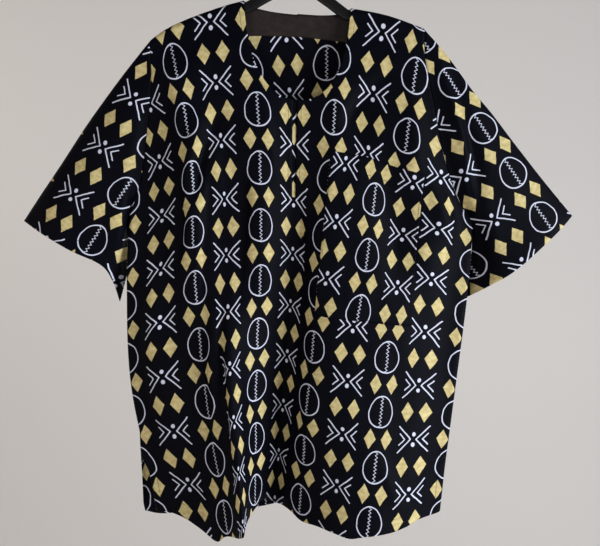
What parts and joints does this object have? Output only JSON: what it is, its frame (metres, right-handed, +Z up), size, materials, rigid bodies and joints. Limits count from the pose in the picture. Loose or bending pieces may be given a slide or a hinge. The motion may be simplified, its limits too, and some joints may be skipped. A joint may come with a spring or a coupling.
{
  "type": "short-sleeve shirt on a hanger",
  "caption": "Loose short-sleeve pullover shirt with a round slit neck, chest pocket and side vents, hanging on a plain hanger by its hook.",
  "frame": {"origin": "inside top of the hanger's hook, where a rail carries it", "axes": "+Z up, -Y out of the shirt's front, +X towards the wearer's left"},
  "size_m": [0.888, 0.1672, 0.9867],
  "materials": {
    "print_cloth": "plain woven cotton, near-black navy ground with a repeat print in gold and pale lavender white",
    "facing_satin": "dark brown satin",
    "black_plastic": "smooth moulded"
  },
  "bodies": {
    "root": {"front_panel": "print_cloth", "back_panel": "print_cloth", "sleeve_right": "print_cloth", "sleeve_left": "print_cloth", "pocket": "print_cloth", "slit_underlap": "print_cloth", "neck_facing": "facing_satin", "hanger": "black_plastic"}
  },
  "joints": []
}
